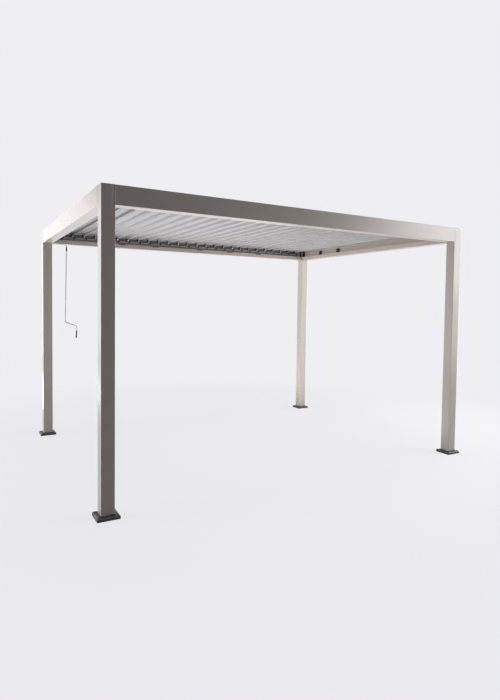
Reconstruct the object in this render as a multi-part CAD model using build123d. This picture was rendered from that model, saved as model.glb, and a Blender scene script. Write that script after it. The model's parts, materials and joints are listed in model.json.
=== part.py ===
from build123d import *
from math import cos, pi, radians, sin, tan
import os

# A free-standing pergola of powder-coated aluminium: four square posts on feet, four beams with
# gutters, and a roof of louvres that tilt together. A crank under the back beam turns them.
# Millimetres. X runs along the long side, Y from the front to the back and Z up. The origin is
# on the ground under the middle of the roof.

# Overall size, over the posts
LENGTH = 3930.0
DEPTH = 2970.0
HEIGHT = 2500.0

# Posts
POST_SIDE = 105.0
POST_WALL = 2.5
POST_EDGE_RADIUS = 4.0
POST_CAP = 4.0

# Feet
FOOT_OVERHANG = 36.0
FOOT_PLATE = 24.0
FOOT_CORNER = 5.0
FOOT_CHAMFER = 5.0
FOOT_HOLE_RADIUS = 5.5
FOOT_HOLE_INSET = 18.5
COLLAR_RISE = 7.0
COLLAR_WIDTH = 7.0
COLLAR_CLEARANCE = 0.3
SPIGOT_HEIGHT = 80.0
SPIGOT_WALL = 4.0
SPIGOT_CLEARANCE = 0.3

# Beams, each a box tube with an open gutter along its inner side
BEAM_HEIGHT = 150.0
BEAM_TUBE = 50.0
BEAM_WALL = 2.5
BEAM_EDGE = 1.5
GUTTER_FLOOR = 3.0
LIP_HEIGHT = 50.0
LIP_WALL = 3.0
LIP_RETURN = 8.0

# Louvres, each a thin skin with a rib under it; the pivot is below the rib
LOUVRE_COUNT = 26
LOUVRE_MARGIN = 92.4
LOUVRE_GAP = 6.2
PIVOT_DROP = 43.0
SKIN_RISE = 31.0
SKIN = 1.8
BLADE_RIGHT = 48.0
RIGHT_UPSTAND = 3.0
LEFT_UPSTAND = 10.0
LEFT_FLANGE = 11.0
RIB = 3.0
RIB_DEPTH = 21.0
RIB_FOOT = 8.0
RIB_FOOT_THICKNESS = 2.5

# Levers, end plates, pins and the bearing rails that carry the pins
LEVER_WIDTH = 18.0
LEVER_THICKNESS = 5.0
LEVER_REACH_UP = 20.0
LEVER_REACH_DOWN = 24.0
LEVER_OVERHANG = 8.0
END_PLATE_TIP = 8.0
END_PLATE_TAPER = 30.0
PIN_RADIUS = 4.0
PIN_SIDES = 6
PIN_CLEARANCE = 0.05
RAIL_HEIGHT = 40.0
RAIL_THICKNESS = 8.0
RAIL_OVERRUN = 40.0
PIN_END_GAP = 2.0

# Tilt bar
BAR_HEIGHT = 16.0
BAR_THICKNESS = 4.0
BAR_OVERRUN = 12.0
BAR_PIN_CLEARANCE = 0.3
BAR_RAIL_GAP = 8.0
RUNNING_GAP = 5.0
BAR_PIN_PROUD = 1.5

# Flashings along the two side beams
FLASHING = 2.0
FLASHING_LEG = 24.0
FLASHING_HEADROOM = 12.0
LEFT_FLASHING_GAP = 6.0
RIGHT_FLASHING_GAP = 22.0
RIGHT_FLASHING_COVER = 1.5
FLANGE_GAP = 5.0
FLASHING_END_GAP = 0.3

# Gutter brackets with a domed top under the flashings, and plates that close the gutters' ends
BRACKET_WIDTH = 40.0
BRACKET_DEPTH = 28.0
BRACKET_DOME = 18.0
BRACKET_DOME_SIDES = 6
BRACKET_PLACES = (549.0, 962.0)
GUTTER_END = 3.0
GUTTER_END_GAP = 2.5

# Gearbox, in the back gutter at the first louvre
GEARBOX_LIP_GAP = 2.5
GEARBOX_HEIGHT = 50.0
GEARBOX_LEFT = 30.0
GEARBOX_RIGHT = 96.0
WHEEL_HOUSING_RADIUS = 26.0
GEARBOX_EDGE = 3.0
BLIND_BORE_WALL = 1.0

# Crank
CRANK_OFFSET_X = 66.0
CRANK_OFFSET_Y = 24.0
CRANK_LEAN = 1.0
CRANK_ROD_RADIUS = 5.5
CRANK_DROP = 965.0
CRANK_ARM = 143.0
CRANK_ARM_FALL = 42.0
CRANK_BEND_RADIUS = 42.0
CRANK_BEND_CHORDS = 3
CRANK_TAIL = 188.0
CRANK_TAIL_LEAN = 3.3
GRIP_LENGTH = 86.0
GRIP_END = 5.0
GRIP_RADIUS = 10.0
GRIP_WAIST_RADIUS = 8.5
GRIP_COLLAR = 6.0
GRIP_CLEARANCE = 0.2
GRIP_SIDES = 12
SOCKET_RADIUS = 12.0
SOCKET_SIDES = 8
SOCKET_LENGTH = 30.0
SOCKET_HOLE_CLEARANCE = 0.5
SOCKET_CLEARANCE = 0.6
ROD_IN_SOCKET = 22.0

# Places that follow from the sizes
POST_X = LENGTH / 2 - POST_SIDE / 2
POST_Y = DEPTH / 2 - POST_SIDE / 2
INNER_X = LENGTH / 2 - POST_SIDE
INNER_Y = DEPTH / 2 - POST_SIDE
TUBE_X = LENGTH / 2 - BEAM_TUBE
TUBE_Y = DEPTH / 2 - BEAM_TUBE
UNDERSIDE = HEIGHT - BEAM_HEIGHT
FLOOR_TOP = UNDERSIDE + GUTTER_FLOOR
PIVOT_Z = HEIGHT - PIVOT_DROP
LOUVRE_PITCH = (2 * TUBE_X - 2 * LOUVRE_MARGIN) / LOUVRE_COUNT
BLADE_LEFT = LOUVRE_PITCH - LOUVRE_GAP - BLADE_RIGHT
RAIL_Y = TUBE_Y - RAIL_THICKNESS
BAR_Y = RAIL_Y - BAR_RAIL_GAP - BAR_THICKNESS
LEVER_Y = BAR_Y - RUNNING_GAP - LEVER_THICKNESS
PIN_END = TUBE_Y - PIN_END_GAP
PIVOT_XS = [(i - (LOUVRE_COUNT - 1) / 2) * LOUVRE_PITCH for i in range(LOUVRE_COUNT)]
CORNERS = {
    "front_left": (-1, -1),
    "front_right": (1, -1),
    "back_left": (-1, 1),
    "back_right": (1, 1),
}


def slab(face, low, high):
    """A face on the XZ plane, thickened from Y = low to Y = high."""
    return extrude(Pos(0, high, 0) * face, amount=high - low, dir=(0, -1, 0))


def outline(points):
    """A closed face on the XZ plane through points given as (x, z)."""
    return Plane.XZ * make_face(Polyline(*points, close=True))


def disc(x, z, radius):
    """A round face on the XZ plane."""
    return Plane.XZ * Pos(x, z) * Circle(radius)


def pin_face(x, z):
    """A pin's six-sided face on the XZ plane."""
    return Plane.XZ * Pos(x, z) * RegularPolygon(PIN_RADIUS, PIN_SIDES)


def seat(x, z, clearance):
    """The square hole that a pin turns in, on the XZ plane."""
    side = 2 * (PIN_RADIUS + clearance)
    return Plane.XZ * Pos(x, z) * Rectangle(side, side)


def post(side_x, side_y):
    """A square tube, closed by a cap at the top and standing on its foot's plate."""
    length = HEIGHT - FOOT_PLATE
    bore = POST_SIDE - 2 * POST_WALL
    outer = RectangleRounded(POST_SIDE, POST_SIDE, POST_EDGE_RADIUS)
    tube = extrude(outer, amount=length) - extrude(Rectangle(bore, bore), amount=length - POST_CAP)
    return Pos(side_x * POST_X, side_y * POST_Y, FOOT_PLATE) * tube


def foot(side_x, side_y):
    """A plate with four anchor holes, a collar round the post and a spigot inside it."""
    side = POST_SIDE + 2 * FOOT_OVERHANG
    plate = extrude(chamfer(Rectangle(side, side).vertices(), FOOT_CORNER), amount=FOOT_PLATE)
    plate = chamfer(plate.faces().sort_by(Axis.Z)[-1].edges(), FOOT_CHAMFER)
    hole_pitch = side - 2 * FOOT_HOLE_INSET
    for place in GridLocations(hole_pitch, hole_pitch, 2, 2):
        plate -= place * Cylinder(FOOT_HOLE_RADIUS, 3 * FOOT_PLATE)
    socket = POST_SIDE + 2 * COLLAR_CLEARANCE
    rim = socket + 2 * COLLAR_WIDTH
    collar = chamfer(Rectangle(rim, rim).vertices(), COLLAR_WIDTH) - Rectangle(socket, socket)
    spigot_side = POST_SIDE - 2 * POST_WALL - 2 * SPIGOT_CLEARANCE
    spigot_bore = spigot_side - 2 * SPIGOT_WALL
    spigot = Rectangle(spigot_side, spigot_side) - Rectangle(spigot_bore, spigot_bore)
    whole = plate + Pos(0, 0, FOOT_PLATE) * extrude(collar, amount=COLLAR_RISE)
    whole += Pos(0, 0, FOOT_PLATE) * extrude(spigot, amount=SPIGOT_HEIGHT)
    return Pos(side_x * POST_X, side_y * POST_Y, 0) * whole


def beam_face(outer, inward):
    """The section of a beam on the XZ plane; inward is the way from its outer face to its lip."""
    section = [
        (0, 0),
        (POST_SIDE, 0),
        (POST_SIDE, LIP_HEIGHT),
        (POST_SIDE - LIP_RETURN, LIP_HEIGHT),
        (POST_SIDE - LIP_RETURN, LIP_HEIGHT - LIP_WALL),
        (POST_SIDE - LIP_WALL, LIP_HEIGHT - LIP_WALL),
        (POST_SIDE - LIP_WALL, GUTTER_FLOOR),
        (BEAM_TUBE, GUTTER_FLOOR),
        (BEAM_TUBE, BEAM_HEIGHT),
        (0, BEAM_HEIGHT),
    ]
    low, high = BEAM_WALL, BEAM_TUBE - BEAM_WALL
    top = BEAM_HEIGHT - BEAM_WALL
    hollow = [(low, low), (high, low), (high, top), (low, top)]
    skin = make_face(Polyline(*section, close=True))
    edges = [v for v in skin.vertices() if abs(v.X) < 0.01 or v.Y > BEAM_HEIGHT - 0.01]
    skin = chamfer(edges, BEAM_EDGE) - make_face(Polyline(*hollow, close=True))
    if inward < 0:
        skin = mirror(skin, about=Plane.YZ)
    return Plane.XZ * Pos(outer, UNDERSIDE) * skin


def side_beam(side):
    """The left or right beam, between a front and a back post."""
    return slab(beam_face(side * LENGTH / 2, -side), -INNER_Y, INNER_Y)


def long_beam(side):
    """The front or back beam, between a left and a right post."""
    beam = slab(beam_face(side * DEPTH / 2, -side), -INNER_X, INNER_X)
    beam = Rot(0, 0, 90) * beam
    if side > 0:
        hole = Cylinder(SOCKET_RADIUS + SOCKET_HOLE_CLEARANCE, 4 * GUTTER_FLOOR)
        beam -= Pos(crank_x(), crank_y(), UNDERSIDE) * hole
    return beam


def crank_x():
    """Where the crank's axis crosses the underside of the back beam, along X."""
    return PIVOT_XS[0] + CRANK_OFFSET_X


def crank_y():
    """Where the crank's axis crosses the underside of the back beam, along Y."""
    return TUBE_Y - CRANK_OFFSET_Y


def louvre_section():
    """The louvre's extruded section about its pivot: skin, upstands and a rib with a foot."""
    top = SKIN_RISE + LEFT_UPSTAND
    half = RIB / 2
    rib_end = SKIN_RISE - RIB_DEPTH
    points = [
        (-BLADE_LEFT, SKIN_RISE),
        (-half, SKIN_RISE),
        (-half, rib_end),
        (-half + RIB_FOOT, rib_end),
        (-half + RIB_FOOT, rib_end + RIB_FOOT_THICKNESS),
        (half, rib_end + RIB_FOOT_THICKNESS),
        (half, SKIN_RISE),
        (BLADE_RIGHT, SKIN_RISE),
        (BLADE_RIGHT, SKIN_RISE + RIGHT_UPSTAND),
        (BLADE_RIGHT - SKIN, SKIN_RISE + RIGHT_UPSTAND),
        (BLADE_RIGHT - SKIN, SKIN_RISE + SKIN),
        (-BLADE_LEFT + SKIN, SKIN_RISE + SKIN),
        (-BLADE_LEFT + SKIN, top),
        (-BLADE_LEFT - LEFT_FLANGE, top),
        (-BLADE_LEFT - LEFT_FLANGE, top - SKIN),
        (-BLADE_LEFT, top - SKIN),
    ]
    return outline(points)


def lever():
    """A straight lever's face, from under the skin on the left to past the tilt bar's pin."""
    up = Vector(-LEVER_REACH_UP, LEVER_REACH_UP)
    down = Vector(LEVER_REACH_DOWN, -LEVER_REACH_DOWN)
    length = (up - down).length + 2 * LEVER_OVERHANG
    middle = (up + down) * 0.5
    return Plane.XZ * Pos(middle.X, middle.Y) * Rot(0, 0, -45) * Rectangle(length, LEVER_WIDTH)


def end_plate():
    """A plate's face that narrows from the skin to a tip rounded about the pivot."""
    taper = radians(END_PLATE_TAPER)
    apex = END_PLATE_TIP / sin(taper)
    top = SKIN_RISE + SKIN
    half = (top + apex) * tan(taper)
    plate = make_face(Polyline((-half, top), (0, -apex), (half, top), close=True))
    tip = plate.vertices().sort_by(Axis.Y)[0]
    return Plane.XZ * fillet(tip, END_PLATE_TIP)


def louvre():
    """One louvre about its pivot axis, with a lever at the back and a pin at each end."""
    blade = slab(louvre_section(), -LEVER_Y, LEVER_Y)
    back = slab(lever(), LEVER_Y, LEVER_Y + LEVER_THICKNESS)
    front = slab(end_plate(), -LEVER_Y - LEVER_THICKNESS, -LEVER_Y)
    pin = pin_face(0, 0)
    pins = slab(pin, LEVER_Y, PIN_END) + slab(pin, -PIN_END, -LEVER_Y)
    bar_pin = pin_face(LEVER_REACH_DOWN, -LEVER_REACH_DOWN)
    bar_pin_end = BAR_Y + BAR_THICKNESS + BAR_PIN_PROUD
    return blade + back + front + pins + slab(bar_pin, LEVER_Y, bar_pin_end)


def bearing_rail(side):
    """A strip on the beam's gutter wall with a seat for each louvre pin."""
    first = PIVOT_XS[0] - RAIL_OVERRUN
    seats = PIVOT_XS
    if side > 0:
        first = PIVOT_XS[0] + WHEEL_HOUSING_RADIUS + RUNNING_GAP
        seats = PIVOT_XS[1:]
    last = PIVOT_XS[-1] + RAIL_OVERRUN
    middle = (first + last) / 2
    strip = Plane.XZ * Pos(middle, PIVOT_Z) * Rectangle(last - first, RAIL_HEIGHT)
    for x in seats:
        strip -= seat(x, PIVOT_Z, PIN_CLEARANCE)
    low, high = (RAIL_Y, TUBE_Y) if side > 0 else (-TUBE_Y, -RAIL_Y)
    return slab(strip, low, high)


def tilt_bar():
    """The flat bar that joins the levers' lower pins; the first of its holes is round."""
    first = PIVOT_XS[0] + LEVER_REACH_DOWN
    last = PIVOT_XS[-1] + LEVER_REACH_DOWN
    z = PIVOT_Z - LEVER_REACH_DOWN
    length = last - first + 2 * BAR_OVERRUN
    strip = Plane.XZ * Pos((first + last) / 2, z) * Rectangle(length, BAR_HEIGHT)
    strip -= disc(first, z, PIN_RADIUS + BAR_PIN_CLEARANCE)
    for x in PIVOT_XS[1:]:
        strip -= seat(x + LEVER_REACH_DOWN, z, BAR_PIN_CLEARANCE)
    return slab(strip, BAR_Y, BAR_Y + BAR_THICKNESS)


def flashing_left():
    """A folded strip from the left beam's gutter wall to under the first louvre's flange."""
    plate = HEIGHT - FLASHING_HEADROOM
    tip = PIVOT_XS[0] - BLADE_LEFT - LEFT_FLASHING_GAP
    lip = PIVOT_Z + SKIN_RISE + LEFT_UPSTAND - SKIN - FLANGE_GAP
    points = [
        (-TUBE_X, plate),
        (-TUBE_X, plate - FLASHING_LEG),
        (-TUBE_X + FLASHING, plate - FLASHING_LEG),
        (-TUBE_X + FLASHING, plate - FLASHING),
        (tip, plate - FLASHING),
        (tip, lip),
        (tip - FLASHING, lip),
        (tip - FLASHING, plate),
    ]
    return slab(outline(points), -INNER_Y + FLASHING_END_GAP, INNER_Y - FLASHING_END_GAP)


def flashing_right():
    """A folded strip from the right beam's gutter wall to over the last louvre's edge."""
    plate = HEIGHT - FLASHING_HEADROOM
    edge = PIVOT_XS[-1] + BLADE_RIGHT
    wall = edge + RIGHT_FLASHING_GAP
    cover = edge - RIGHT_FLASHING_COVER
    lid = PIVOT_Z + SKIN_RISE + RIGHT_UPSTAND + FLANGE_GAP
    points = [
        (TUBE_X, plate),
        (TUBE_X, plate - FLASHING_LEG),
        (TUBE_X - FLASHING, plate - FLASHING_LEG),
        (TUBE_X - FLASHING, plate - FLASHING),
        (wall, plate - FLASHING),
        (wall, lid),
        (cover, lid),
        (cover, lid + FLASHING),
        (wall + FLASHING, lid + FLASHING),
        (wall + FLASHING, plate),
    ]
    return slab(outline(points), -INNER_Y + FLASHING_END_GAP, INNER_Y - FLASHING_END_GAP)


def gutter_brackets(side):
    """A side gutter's two brackets, and the plates that close the gutters' ends on that side."""
    top = HEIGHT - FLASHING_HEADROOM - FLASHING_LEG
    half = BRACKET_WIDTH / 2
    turns = [pi * i / BRACKET_DOME_SIDES for i in range(BRACKET_DOME_SIDES + 1)]
    dome = [(half * cos(a), top - BRACKET_DOME * (1 - sin(a))) for a in turns]
    section = make_face(Polyline((half, FLOOR_TOP), *dome, (-half, FLOOR_TOP), close=True))
    section = Plane.YZ * section
    near, far = sorted((side * (TUBE_X - BRACKET_DEPTH), side * TUBE_X))
    bracket = Pos(near, 0, 0) * extrude(section, amount=far - near, dir=(1, 0, 0))
    pieces = [Pos(0, y, 0) * bracket for y in BRACKET_PLACES]
    for end in (-1, 1):
        pieces += gutter_ends(side, end)
    return pieces


def gutter_ends(side, end):
    """The two upright plates on a post's inner faces, one in each of the gutters that meet there."""
    width = POST_SIDE - BEAM_TUBE - LIP_RETURN - GUTTER_END_GAP
    height = HEIGHT - FLASHING_HEADROOM - FLASHING - GUTTER_END_GAP - FLOOR_TOP
    middle = LIP_RETURN + width / 2
    z = FLOOR_TOP + height / 2
    in_side = Pos(side * (INNER_X + middle), end * (INNER_Y - GUTTER_END / 2), z)
    in_long = Pos(side * (INNER_X - GUTTER_END / 2), end * (INNER_Y + middle), z)
    return [in_side * Box(width, GUTTER_END, height), in_long * Box(GUTTER_END, width, height)]


def gearbox():
    """A worm housing on the gutter floor, with a round wheel housing up to the first pivot."""
    pivot = PIVOT_XS[0]
    body_top = FLOOR_TOP + GEARBOX_HEIGHT
    left, right = pivot - GEARBOX_LEFT, pivot + GEARBOX_RIGHT
    depth = POST_SIDE - BEAM_TUBE - LIP_RETURN - GEARBOX_LIP_GAP
    body = Rectangle(right - left, GEARBOX_HEIGHT)
    body = chamfer(body.vertices(), GEARBOX_EDGE)
    body = Plane.XZ * Pos((left + right) / 2, (FLOOR_TOP + body_top) / 2) * body
    neck_height = PIVOT_Z - FLOOR_TOP - GEARBOX_EDGE
    neck = Plane.XZ * Pos(pivot, PIVOT_Z - neck_height / 2)
    neck *= Rectangle(2 * WHEEL_HOUSING_RADIUS, neck_height)
    housing_y = BAR_Y + BAR_THICKNESS + RUNNING_GAP
    wheel = neck + disc(pivot, PIVOT_Z, WHEEL_HOUSING_RADIUS)
    whole = slab(body, TUBE_Y - depth, TUBE_Y) + slab(wheel, housing_y, TUBE_Y)
    bore = seat(pivot, PIVOT_Z, PIN_CLEARANCE)
    return whole - slab(bore, housing_y, TUBE_Y - BLIND_BORE_WALL)


def leaning(shape):
    """A shape about the crank's axis, leaned and put in its place under the back beam."""
    return Pos(crank_x(), crank_y(), UNDERSIDE) * Rot(0, CRANK_LEAN, 0) * shape


def crank_socket():
    """The eight-sided sleeve under the gearbox that the crank hangs in, with room for its lean."""
    sleeve = RegularPolygon(SOCKET_RADIUS, SOCKET_SIDES)
    sleeve -= Circle(CRANK_ROD_RADIUS + SOCKET_CLEARANCE)
    sleeve = extrude(sleeve, amount=SOCKET_LENGTH + GUTTER_FLOOR)
    return Pos(crank_x(), crank_y(), UNDERSIDE - SOCKET_LENGTH) * sleeve


def bend(before, corner, after):
    """Points along the bend at a corner of the crank, where it leaves its straight runs."""
    into = (corner - before).normalized()
    out = (after - corner).normalized()
    turn = radians(into.get_angle(out))
    start = corner - into * (CRANK_BEND_RADIUS * tan(turn / 2))
    across = (out - into * into.dot(out)).normalized()
    steps = [turn * i / CRANK_BEND_CHORDS for i in range(CRANK_BEND_CHORDS + 1)]
    reach = CRANK_BEND_RADIUS
    return [start + into * (reach * sin(a)) + across * (reach * (1 - cos(a))) for a in steps]


def tail_end():
    """The lower end of the crank's rod about the crank's axis."""
    run = CRANK_TAIL - CRANK_ARM_FALL
    shift = run * tan(radians(CRANK_TAIL_LEAN))
    return Vector(CRANK_ARM - shift, 0, -CRANK_DROP - CRANK_TAIL)


def crank_rod():
    """A rod that hangs down, turns out in an arm and turns down again for the grip."""
    top = Vector(0, 0, -SOCKET_LENGTH + ROD_IN_SOCKET)
    elbow = Vector(0, 0, -CRANK_DROP)
    knee = Vector(CRANK_ARM, 0, -CRANK_DROP - CRANK_ARM_FALL)
    end = tail_end()
    path = Polyline(top, *bend(top, elbow, knee), *bend(elbow, knee, end), end)
    rod = Plane(origin=top, z_dir=(0, 0, -1)) * Circle(CRANK_ROD_RADIUS)
    return leaning(sweep(rod, path=path, transition=Transition.RIGHT))


def crank_grip():
    """A twelve-sided grip on the crank's end, with a collar at each end and tapers to its waist."""
    waist = (GRIP_LENGTH - GRIP_END) / 2
    rings = [
        (GRIP_RADIUS, -GRIP_END),
        (GRIP_RADIUS, -GRIP_END + GRIP_COLLAR),
        (GRIP_WAIST_RADIUS, waist),
        (GRIP_RADIUS, GRIP_LENGTH - GRIP_COLLAR),
        (GRIP_RADIUS, GRIP_LENGTH),
    ]
    faces = [Pos(0, 0, z) * RegularPolygon(radius, GRIP_SIDES) for radius, z in rings]
    bore = RegularPolygon(CRANK_ROD_RADIUS + GRIP_CLEARANCE, GRIP_SIDES, major_radius=False)
    grip = loft(faces, ruled=True) - extrude(bore, amount=GRIP_LENGTH)
    return leaning(Location(tail_end()) * Rot(0, CRANK_TAIL_LEAN, 0) * grip)


def build():
    """Every piece by its node's name."""
    nodes = {}
    for corner, (side_x, side_y) in CORNERS.items():
        nodes[f"post_{corner}"] = post(side_x, side_y)
        nodes[f"foot_{corner}"] = foot(side_x, side_y)
    nodes["beam_front"] = long_beam(-1)
    nodes["beam_back"] = long_beam(1)
    nodes["beam_left"] = side_beam(-1)
    nodes["beam_right"] = side_beam(1)
    nodes["bearing_rail_front"] = bearing_rail(-1)
    nodes["bearing_rail_back"] = bearing_rail(1)
    nodes["flashing_left"] = flashing_left()
    nodes["flashing_right"] = flashing_right()
    nodes["gutter_brackets_left"] = gutter_brackets(-1)
    nodes["gutter_brackets_right"] = gutter_brackets(1)
    one_louvre = louvre()
    for i, x in enumerate(PIVOT_XS, start=1):
        nodes[f"louvre_{i:02d}"] = Pos(x, 0, PIVOT_Z) * one_louvre
    nodes["tilt_bar"] = tilt_bar()
    nodes["gearbox"] = gearbox()
    nodes["crank_socket"] = crank_socket()
    nodes["crank_rod"] = crank_rod()
    nodes["crank_grip"] = crank_grip()
    return nodes


def main():
    """Write one STEP file for each node."""
    os.makedirs("parts", exist_ok=True)
    for name, shape in build().items():
        solids = shape if isinstance(shape, list) else shape.solids()
        whole = solids[0] if len(solids) == 1 else Compound(children=list(solids))
        export_step(whole, f"parts/{name}.step")


main()
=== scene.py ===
import json
from math import cos, radians, sin

import bmesh
import bpy
import numpy as np
from mathutils import Matrix, Vector

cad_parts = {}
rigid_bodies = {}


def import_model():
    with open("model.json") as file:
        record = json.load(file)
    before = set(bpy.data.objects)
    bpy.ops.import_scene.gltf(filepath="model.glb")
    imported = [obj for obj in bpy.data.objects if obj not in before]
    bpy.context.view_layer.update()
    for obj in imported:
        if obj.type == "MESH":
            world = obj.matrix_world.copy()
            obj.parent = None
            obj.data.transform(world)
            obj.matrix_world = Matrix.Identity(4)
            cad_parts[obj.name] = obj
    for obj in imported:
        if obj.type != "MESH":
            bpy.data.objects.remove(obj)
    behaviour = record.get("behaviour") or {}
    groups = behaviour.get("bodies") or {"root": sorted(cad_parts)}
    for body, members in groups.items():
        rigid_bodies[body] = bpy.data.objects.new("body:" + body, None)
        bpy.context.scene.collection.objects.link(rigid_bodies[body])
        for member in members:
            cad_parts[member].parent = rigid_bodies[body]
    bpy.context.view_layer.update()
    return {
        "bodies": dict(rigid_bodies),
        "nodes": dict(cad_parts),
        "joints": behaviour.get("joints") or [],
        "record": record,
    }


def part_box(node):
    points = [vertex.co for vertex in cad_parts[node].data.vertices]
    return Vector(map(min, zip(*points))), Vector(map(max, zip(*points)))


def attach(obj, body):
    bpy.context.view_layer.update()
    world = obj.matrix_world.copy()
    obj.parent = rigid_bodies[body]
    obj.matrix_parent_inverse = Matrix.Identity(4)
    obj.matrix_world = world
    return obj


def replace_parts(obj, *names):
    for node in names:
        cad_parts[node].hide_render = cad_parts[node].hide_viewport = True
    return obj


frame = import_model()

bl_info = {
    "name": "Louvred pergola",
    "version": (1, 0, 0),
    "blender": (4, 5, 0),
    "location": "View3D > Sidebar > Pergola",
    "description": "Finishes, fittings and stage for a louvred pergola",
    "category": "Object",
}

# Places read from the frame, in metres
CORNERS = ("front_left", "front_right", "back_left", "back_right")
LOUVRES = sorted(body for body in frame["bodies"] if body.startswith("louvre_"))
PIVOTS = {
    joint["child"]: Vector(joint["pos_m"])
    for joint in frame["joints"]
    if joint["child"] in LOUVRES
}
SLOT_OF = {part["node"]: part["material_slot"] for part in frame["record"]["subparts"]}

# The blades end where the levers start, 10 mm short of the tilt bar
LEVER_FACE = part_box("tilt_bar")[0].y - 0.010
LEVER_THICKNESS = 0.005
PAINT_EDGE = 0.00005

# Height of a gutter's lip over the underside of its beam
LIP_HEIGHT = 0.050
# The two bars of a lip clip, a cap and a tab: width, height, corner radius, and their places
# across the lip and over its rim
CLIP_BARS = (
    (0.0105, 0.0024, 0.0011, 0.0040, 0.0001),
    (0.0016, 0.0120, 0.0007, -0.0006, -0.0050),
)
# How far a screw's middle lies from the edge of the piece that it holds
SCREW_INSET = 0.010
# The screws along a flashing: how far the row reaches each way, and how many there are
FLASHING_REACH, FLASHING_SCREWS = 1.2, 7
# The seams stop this far short of the beams' upper and lower edges
SEAM_MARGIN = 0.001
# A washer's chamfer, as a share of its thickness
WASHER_CHAMFER = 0.2

# Points round each turned or carried surface
BOLT_SIDES, PIN_HEAD_SIDES, SCREW_SIDES = 20, 14, 10
TUBE_SIDES, COLLAR_SIDES, CROSS_PIN_SIDES, GRIP_SIDES = 20, 24, 12, 28
# Points along the grip and along each of the rod's bends
GRIP_ROWS, BEND_ROWS = 64, 12

# Specular level of the paints and plastics, and how much paler than its plastic dust is
COAT_SPECULAR = 0.35
DUST_PALENESS = 0.36

MERGE_DISTANCE = 1e-7
SMOOTH_ANGLE = radians(35)
SENSOR_WIDTH = 36.0
VIEW_END = 200.0

# Softboxes round the pergola: place, the point each one faces, width, height, spread and power
SOFTBOXES = {
    "left": ((-12.0, 2.2, 2.4), (0.0, 0.8, 1.6), 8.0, 4.5, 180, 520.0),
    "left_low": ((-8.0, 0.8, 0.45), (0.0, 0.8, 3.2), 5.0, 0.8, 90, 108.0),
    "right": ((7.0, -0.5, 2.0), (0.0, -0.5, 1.8), 4.0, 3.4, 180, 109.0),
    "right_low": ((6.5, -1.0, 0.9), (0.0, 0.5, 1.6), 4.5, 1.4, 180, 160.0),
    "front_right": ((6.0, -4.5, 2.4), (0.9, -1.2, 2.0), 4.5, 3.6, 180, 155.0),
    "front_right_near": ((3.9, -3.4, 2.7), (1.7, -1.4, 2.2), 2.0, 1.6, 180, 61.0),
    "back_left": ((-4.0, 6.5, 2.2), (-1.0, 0.0, 1.8), 5.0, 3.6, 180, 65.0),
    "back_floor": ((0.5, 5.0, 0.03), (0.5, 5.0, 2.0), 8.0, 4.0, 180, 345.0),
    "inner_floor": ((1.1, 0.2, 0.03), (1.1, 0.2, 2.2), 1.4, 2.2, 180, 29.0),
    "over": ((0.0, 0.0, 6.5), (0.0, 0.0, 2.5), 3.6, 2.6, 80, 36.0),
}
# Softboxes that faces seen at a low angle do not mirror
DIFFUSE_ONLY = ("left", "left_low")


# ---- Sizes and colours that a user would change


def length_setting(name, description, default):
    """A size in metres."""
    return bpy.props.FloatProperty(
        name=name,
        description=description,
        subtype="DISTANCE",
        unit="LENGTH",
        precision=4,
        default=default,
    )


def colour_setting(name, description, default):
    """A colour, as three linear shares."""
    return bpy.props.FloatVectorProperty(
        name=name,
        description=description,
        subtype="COLOR",
        size=3,
        min=0.0,
        max=1.0,
        default=default,
    )


def share_setting(name, description, default):
    """A share from 0 to 1."""
    return bpy.props.FloatProperty(
        name=name,
        description=description,
        subtype="FACTOR",
        min=0.0,
        max=1.0,
        default=default,
    )


def angle_setting(name, description, default):
    """An angle in radians."""
    return bpy.props.FloatProperty(
        name=name,
        description=description,
        subtype="ANGLE",
        unit="ROTATION",
        default=default,
    )


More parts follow.
